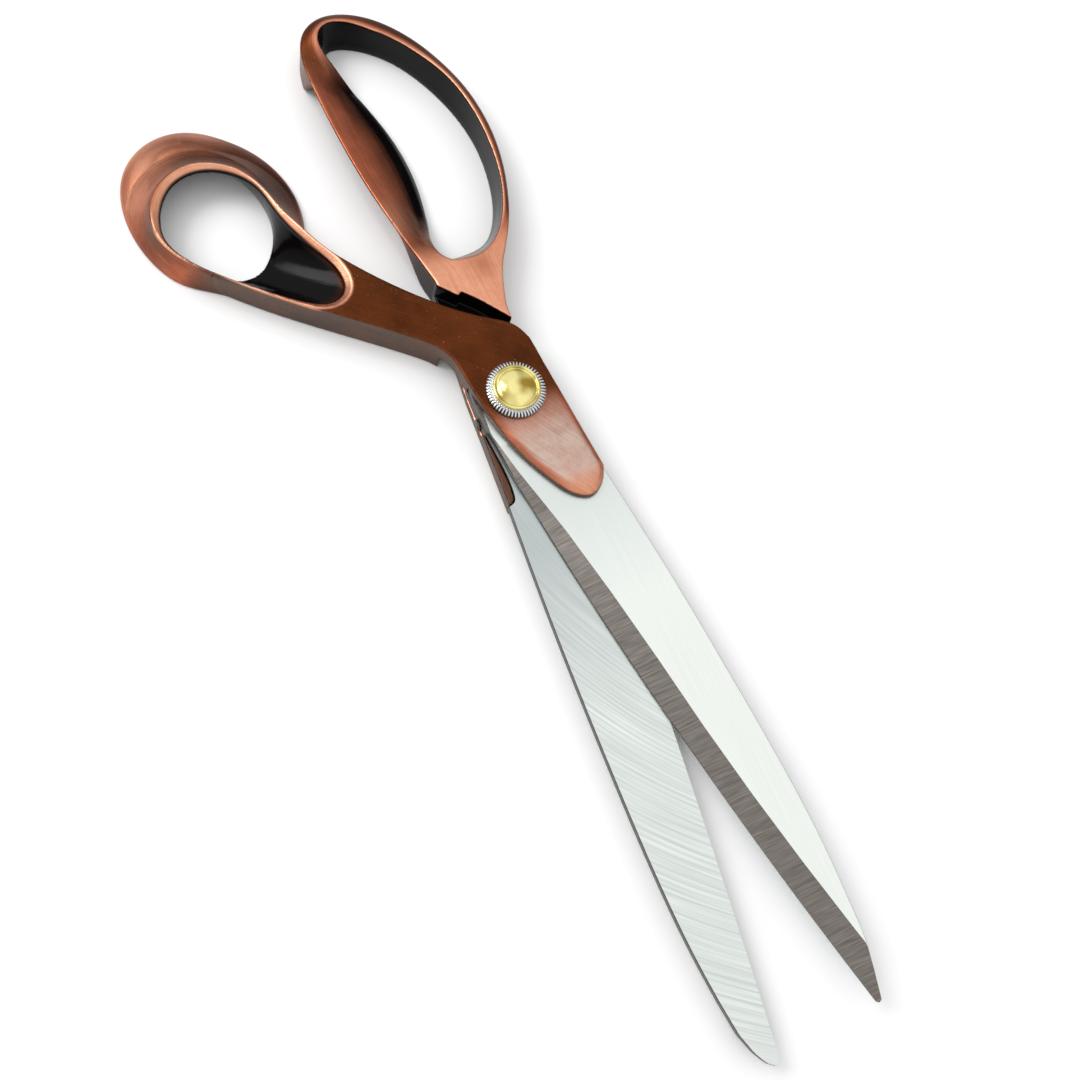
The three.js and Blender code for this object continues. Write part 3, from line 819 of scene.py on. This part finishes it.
class Nodes:
    """A material's node tree, with short calls for the nodes used here."""

    def __init__(self, name):
        self.material = bpy.data.materials.new(name)
        self.material.use_nodes = True
        self.tree = self.material.node_tree
        self.shader = self.tree.nodes["Principled BSDF"]

    def fill(self, socket, value):
        if isinstance(value, bpy.types.NodeSocket):
            self.tree.links.new(value, socket)
        else:
            socket.default_value = value

    def add(self, kind, out=0, props=None, **inputs):
        node = self.tree.nodes.new("ShaderNode" + kind)
        for key, value in (props or {}).items():
            setattr(node, key, value)
        for key, value in inputs.items():
            self.fill(node.inputs[key.replace("_", " ")], value)
        return node.outputs[out]

    def math(self, operation, a, b=0.0, clamp=False):
        node = self.tree.nodes.new("ShaderNodeMath")
        node.operation = operation
        node.use_clamp = clamp
        self.fill(node.inputs[0], a)
        self.fill(node.inputs[1], b)
        return node.outputs[0]

    def mix(self, share, a, b):
        """Colour a where share is 0, colour b where it is 1."""
        node = self.tree.nodes.new("ShaderNodeMix")
        node.data_type = "RGBA"
        self.fill(node.inputs[0], share)
        self.fill(node.inputs[6], a)
        self.fill(node.inputs[7], b)
        return node.outputs[2]

    def range(self, value, low, high, to_low=0.0, to_high=1.0):
        return self.add("MapRange", Value=value, From_Min=low, From_Max=high, To_Min=to_low, To_Max=to_high)

    def attribute(self, name, vector=False):
        return self.add("Attribute", out=1 if vector else 2, props={"attribute_name": name})

    def stretched(self, vector, scale, turn=0.0):
        return self.add("Mapping", Vector=vector, Scale=scale, Rotation=(0, 0, turn))

    def noise(self, vector, scale=1.0, detail=3.0, roughness=0.55):
        return self.add("TexNoise", Vector=vector, Scale=scale, Detail=detail, Roughness=roughness)

    def bump(self, height, strength, distance):
        return self.add("Bump", Height=height, Strength=strength, Distance=distance)

    def set(self, **inputs):
        for key, value in inputs.items():
            self.fill(self.shader.inputs[key.replace("_", " ")], value)
        return self.material


def in_mm(nodes):
    place = nodes.add("TexCoord", out=3)
    return nodes.stretched(place, (1 / MM,) * 3)


def copper_material():
    """Brushed copper plating: bright where it is rubbed and where highlights are painted, brown with patina
    where it is not rubbed and with painted shade, black in the hollows and in painted shadow, with a painted
    grey reflection and a painted sheen on the black.
    """
    n = Nodes("antique_copper")
    brush = n.attribute("brush", vector=True)
    layers = ("hollow", "worn", "shade", "wall", "veil", "ledge")
    hollow, worn, shade, wall, veil, ledge = (n.attribute(name) for name in layers)
    place = in_mm(n)
    hair = n.noise(n.stretched(brush, (0.045, 6.5, 1.0)), detail=5.0)
    drag = n.noise(n.stretched(brush, (0.06, 1.6, 0.6)), detail=3.0)
    blotch = n.noise(place, scale=0.085, detail=4.0)
    cloud = n.noise(place, scale=0.3, detail=5.0, roughness=0.7)
    specks = n.noise(place, scale=2.2, detail=2.0)
    body = n.mix(n.range(blotch, 0.32, 0.68), srgb(138, 64, 38), srgb(186, 100, 70))
    body = n.mix(n.range(hair, 0.35, 0.75, 0.0, 0.5), body, srgb(212, 142, 110))
    brown = n.mix(n.range(blotch, 0.3, 0.7), srgb(70, 36, 18), srgb(100, 50, 24))
    brown = n.mix(n.range(hair, 0.45, 0.8, 0.0, 0.3), brown, srgb(150, 84, 48))
    # brown patina, with painted shade carried in the same mask
    colour = n.mix(shade, body, brown)
    colour = n.mix(wall, colour, n.mix(n.range(blotch, 0.3, 0.7), srgb(82, 66, 58), srgb(106, 78, 64)))
    # painted reflection: a softbox's pinkish grey laid over the tongue
    grey = n.mix(n.range(hair, 0.3, 0.7), srgb(186, 160, 146), srgb(218, 194, 180))
    colour = n.mix(n.math("MULTIPLY", veil, n.range(cloud, 0.3, 0.6, 0.6, 1.0)), colour, grey)
    # bright rubbed copper, also used for the painted highlights
    bright = n.mix(n.range(hair, 0.3, 0.7), srgb(216, 140, 106), srgb(248, 190, 158))
    colour = n.mix(n.math("MULTIPLY", worn, n.range(cloud, 0.3, 0.6, 0.75, 1.0)), colour, bright)
    rubbed = n.math("MULTIPLY", n.range(specks, 0.7, 0.76), n.math("SUBTRACT", 1.0, hollow))
    colour = n.mix(n.math("MULTIPLY", rubbed, 0.6), colour, srgb(214, 160, 130))
    # black patina, lifted to grey by the painted sheen near its lower edges
    black = n.mix(ledge, srgb(9, 7, 8), srgb(84, 84, 86))
    colour = n.mix(hollow, colour, black)
    rough = n.range(hair, 0.3, 0.7, 0.27, 0.42)
    glossy = n.add("MapRange", Value=hollow, From_Min=0.4, From_Max=1.0, To_Min=rough, To_Max=0.14)
    metal = n.range(hollow, 0.5, 1.0, 1.0, 0.0)
    height = n.math("MULTIPLY", hair, n.math("SUBTRACT", 1.0, hollow))
    ridges = n.bump(height, 0.3, 0.00006)
    lumps = n.add("Bump", Height=n.math("ADD", cloud, drag), Strength=0.25, Distance=0.00012, Normal=ridges)
    n.shader.inputs["IOR"].default_value = 1.2
    return n.set(Base_Color=colour, Metallic=metal, Roughness=glossy, Normal=lumps)


def steel_face_material():
    n = Nodes("blade_satin_face")
    place = in_mm(n)
    lines = n.noise(n.stretched(place, (0.03, 6.0, 1.0)), detail=4.0)
    cloud = n.noise(place, scale=0.03, detail=2.0)
    colour = n.mix(n.range(lines, 0.3, 0.7), srgb(232, 237, 231), srgb(248, 251, 247))
    colour = n.mix(n.range(cloud, 0.3, 0.7, 0.0, 0.4), colour, srgb(234, 240, 236))
    root = n.range(n.add("SeparateXYZ", Vector=place), 30.0, 62.0, 0.5, 0.0)
    colour = n.mix(root, colour, srgb(198, 208, 206))
    rough = n.range(lines, 0.3, 0.7, 0.3, 0.42)
    bump = n.bump(lines, 0.2, 0.00003)
    return n.set(Base_Color=colour, Metallic=1.0, Roughness=rough, Normal=bump)


def steel_bevel_material():
    n = Nodes("blade_ground_bevel")
    place = in_mm(n)
    lines = n.noise(n.stretched(place, (2.6, 0.12, 0.2), math.radians(8)), detail=4.0)
    wide = n.noise(n.stretched(place, (0.5, 0.05, 0.2), math.radians(8)), detail=2.0)
    colour = n.mix(n.range(lines, 0.3, 0.7), srgb(96, 90, 86), srgb(142, 136, 130))
    colour = n.mix(n.range(wide, 0.35, 0.65, 0.0, 0.4), colour, srgb(120, 114, 110))
    rough = n.range(lines, 0.3, 0.7, 0.35, 0.5)
    bump = n.bump(lines, 0.35, 0.00004)
    return n.set(Base_Color=colour, Metallic=1.0, Roughness=rough, Normal=bump)


def steel_back_material():
    n = Nodes("blade_back")
    place = in_mm(n)
    lines = n.noise(n.stretched(place, (0.4, 0.4, 4.0)), detail=3.0)
    colour = n.mix(n.range(lines, 0.3, 0.7), srgb(70, 68, 66), srgb(112, 110, 106))
    rough = n.range(lines, 0.3, 0.7, 0.3, 0.45)
    return n.set(Base_Color=colour, Metallic=1.0, Roughness=rough, Normal=n.bump(lines, 0.2, 0.00003))


def steel_ground_material():
    """Flat inner face, ground across with a wide wheel that leaves long arcs."""
    n = Nodes("blade_ground_face")
    place = in_mm(n)
    away = n.add("VectorMath", props={"operation": "SUBTRACT"})
    node = away.node
    n.tree.links.new(place, node.inputs[0])
    node.inputs[1].default_value = (10.0, 110.0, 0.0)
    radius = n.add("VectorMath", out=1, props={"operation": "LENGTH"}, Vector=away)
    split = n.add("SeparateXYZ", Vector=away)
    across = n.add("CombineXYZ", X=n.math("MULTIPLY", radius, 1.6), Y=n.math("MULTIPLY", split, 0.03))
    lines = n.noise(across, detail=3.0)
    colour = n.mix(n.range(lines, 0.32, 0.68), srgb(202, 210, 207), srgb(236, 241, 236))
    root = n.range(n.add("SeparateXYZ", Vector=place), 40.0, 90.0, 0.8, 0.0)
    colour = n.mix(root, colour, srgb(178, 186, 187))
    rough = n.range(lines, 0.3, 0.7, 0.28, 0.42)
    bump = n.bump(lines, 0.4, 0.00006)
    return n.set(Base_Color=colour, Metallic=1.0, Roughness=rough, Normal=bump)


def nut_material():
    n = Nodes("bright_nut_steel")
    grime = n.noise(in_mm(n), scale=1.4, detail=3.0)
    colour = n.mix(n.range(grime, 0.3, 0.7), srgb(205, 207, 208), srgb(238, 239, 240))
    # painted shade darkens the grooves between the teeth
    colour = n.mix(n.attribute("groove"), colour, srgb(58, 54, 52))
    rough = n.range(grime, 0.3, 0.7, 0.16, 0.3)
    return n.set(Base_Color=colour, Metallic=1.0, Roughness=rough, Normal=n.bump(grime, 0.1, 0.00003))


def brass_material():
    n = Nodes("polished_brass")
    place = in_mm(n)
    dents = n.noise(place, scale=0.25, detail=1.0)
    cloud = n.noise(place, scale=0.16, detail=1.0)
    # mottled between dark and bright brass: the bright patches are painted reflections on the polished cap
    colour = n.mix(n.range(cloud, 0.4, 0.6), srgb(158, 132, 54), srgb(246, 234, 158))
    rough = n.range(cloud, 0.3, 0.7, 0.2, 0.14)
    return n.set(Base_Color=colour, Metallic=1.0, Roughness=rough, Normal=n.bump(dents, 0.5, 0.0005))


def floor_material():
    n = Nodes("pale_floor")
    n.set(Base_Color=(0.93, 0.93, 0.93, 1.0), Roughness=0.7)
    n.shader.inputs["Specular IOR Level"].default_value = 0.2
    return n.material


# ---- Building the shears ----

copper = copper_material()
ground = [steel_face_material(), steel_bevel_material(), steel_back_material(), steel_ground_material()]
bright = nut_material()

finger_handle(copper)
thumb_handle(copper)
upper = (thumb_edge, THUMB_SPINE, THUMB_TIP, THUMB_BEVEL)
blade("thumb_blade_steel", *upper, *THUMB_BLADE, 1, "thumb_half", ground, ROUND_HOLE)
lower = (finger_edge, FINGER_SPINE, FINGER_TIP, FINGER_BEVEL)
blade("finger_blade_steel", *lower, *FINGER_BLADE, -1, "finger_half", ground, SQUARE_HOLE)
nut(bright)
cap(brass_material())
bolt(bright)
frame["nodes"]["spring_washer"].data.materials.clear()
frame["nodes"]["spring_washer"].data.materials.append(bright)


# ---- Floor, light and camera ----


def floor():
    size = 12.0
    mesh = bpy.data.meshes.new("floor")
    corners = [(-size, -size, 0), (size, -size, 0), (size, size, 0), (-size, size, 0)]
    mesh.from_pydata([(x, y, -0.0001) for x, y, _ in corners], [], [(0, 1, 2, 3)])
    mesh.materials.append(floor_material())
    made = bpy.data.objects.new("floor", mesh)
    bpy.context.scene.collection.objects.link(made)


def soft_box(name, place, target, width, height, power):
    light = bpy.data.lights.new(name, "AREA")
    light.shape = "RECTANGLE"
    light.size, light.size_y = width, height
    light.energy = power
    made = bpy.data.objects.new(name, light)
    made.location = place
    made.rotation_mode = "QUATERNION"
    made.rotation_quaternion = (Vector(place) - Vector(target)).to_track_quat("Z", "Y")
    bpy.context.scene.collection.objects.link(made)


def world():
    """A white room that is brightest overhead and falls off towards the horizon."""
    made = bpy.data.worlds.new("studio")
    made.use_nodes = True
    tree = made.node_tree
    back = tree.nodes["Background"]
    back.inputs["Color"].default_value = (1.0, 1.0, 1.0, 1.0)
    place = tree.nodes.new("ShaderNodeTexCoord")
    split = tree.nodes.new("ShaderNodeSeparateXYZ")
    rise = tree.nodes.new("ShaderNodeMapRange")
    rise.interpolation_type = "SMOOTHSTEP"
    for socket, value in (("From Min", 0.05), ("From Max", 0.85), ("To Min", 0.42), ("To Max", 1.02)):
        rise.inputs[socket].default_value = value
    tree.links.new(place.outputs["Generated"], split.inputs[0])
    tree.links.new(split.outputs["Z"], rise.inputs["Value"])
    tree.links.new(rise.outputs[0], back.inputs["Strength"])
    bpy.context.scene.world = made


AIM = Vector((38.83, -10.28, 5.5)) * MM
DISTANCE = 312.7 * MM
AZIMUTH, ELEVATION, ROLL = (math.radians(a) for a in (33.77, 68.51, 32.06))


def camera():
    data = bpy.data.cameras.new("camera")
    data.sensor_width = 36
    data.lens = 40
    data.clip_start = 0.01
    made = bpy.data.objects.new("camera", data)
    back = Vector(
        (
            math.sin(AZIMUTH) * math.cos(ELEVATION),
            -math.cos(AZIMUTH) * math.cos(ELEVATION),
            math.sin(ELEVATION),
        )
    )
    made.location = AIM + back * DISTANCE
    made.rotation_mode = "QUATERNION"
    made.rotation_quaternion = (-back).to_track_quat("-Z", "Y") @ Quaternion((0, 0, 1), ROLL)
    bpy.context.scene.collection.objects.link(made)
    bpy.context.scene.camera = made


floor()
world()
soft_box("key", (-0.5, -0.55, 0.75), (0, 0, 0), 0.5, 0.5, 4.5)
soft_box("window", (-0.35, -0.1, 0.5), (-0.05, -0.04, 0), 0.05, 0.3, 0.25)
camera()
bpy.context.scene.view_settings.view_transform = "Standard"
